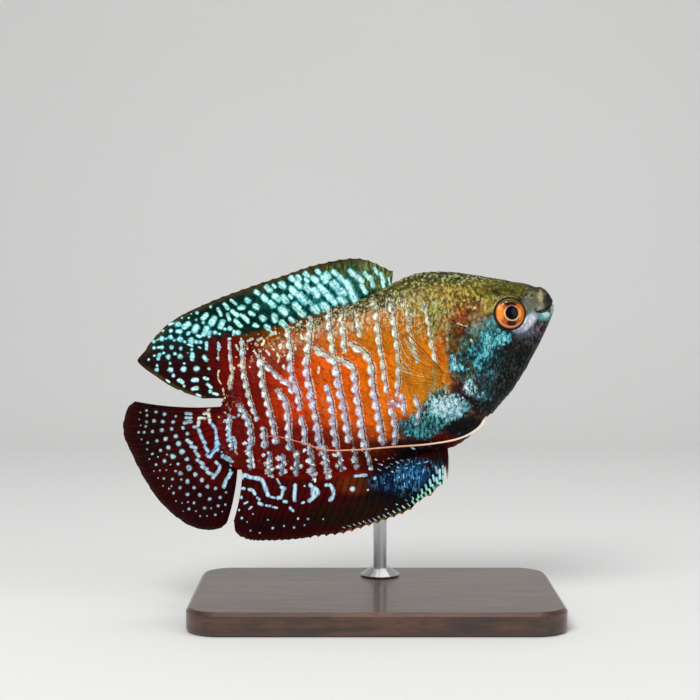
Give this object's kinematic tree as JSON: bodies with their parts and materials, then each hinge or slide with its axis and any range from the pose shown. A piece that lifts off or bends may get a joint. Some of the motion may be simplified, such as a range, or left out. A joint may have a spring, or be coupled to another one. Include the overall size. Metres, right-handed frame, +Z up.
{
  "type": "dwarf gourami display model",
  "caption": "Still, life-size male dwarf gourami with spread fins and thread-like pelvic feelers, held over a flat wooden base by a bent steel rod.",
  "frame": {"origin": "middle of the stand base's flat underside", "axes": "+X towards the fish's head, +Y towards the fish's left side, where the rod is, +Z up; the fish's own axis is pitched about 22 degrees, snout up"},
  "size_m": [0.0742, 0.04, 0.0605],
  "materials": {
    "skin": "satin, scaled, orange and deep red with pale turquoise bars, olive on the back and black under the throat",
    "gill_cover": "satin, turquoise over blue-black",
    "eye": "clear and glossy over an orange iris and a black pupil",
    "dorsal_fin": "thin, satin, pale turquoise spots on dark green",
    "anal_fin": "thin, satin, dark maroon to blue-black with blue marks",
    "tail_fin": "thin, satin, dark maroon with rows of pale blue dots",
    "pectoral_fin": "clear, thin, with fine rays",
    "feeler": "satin, cream at the root to orange and red at the tip",
    "stand_wood": "dark stained, satin varnish",
    "stand_steel": "fine brushed"
  },
  "bodies": {
    "root": {"head": "skin", "lower_jaw": "skin", "gill_cover_left": "gill_cover", "gill_cover_right": "gill_cover", "eye_left": "eye", "eye_right": "eye", "trunk": "skin", "tail_stalk": "skin", "dorsal_fin": "dorsal_fin", "anal_fin": "anal_fin", "tail_fin": "tail_fin", "pectoral_fin_left": "pectoral_fin", "pectoral_fin_right": "pectoral_fin", "pelvic_feeler_left": "feeler", "pelvic_feeler_right": "feeler", "stand_base": "stand_wood", "stand_rod": "stand_steel"}
  },
  "joints": []
}
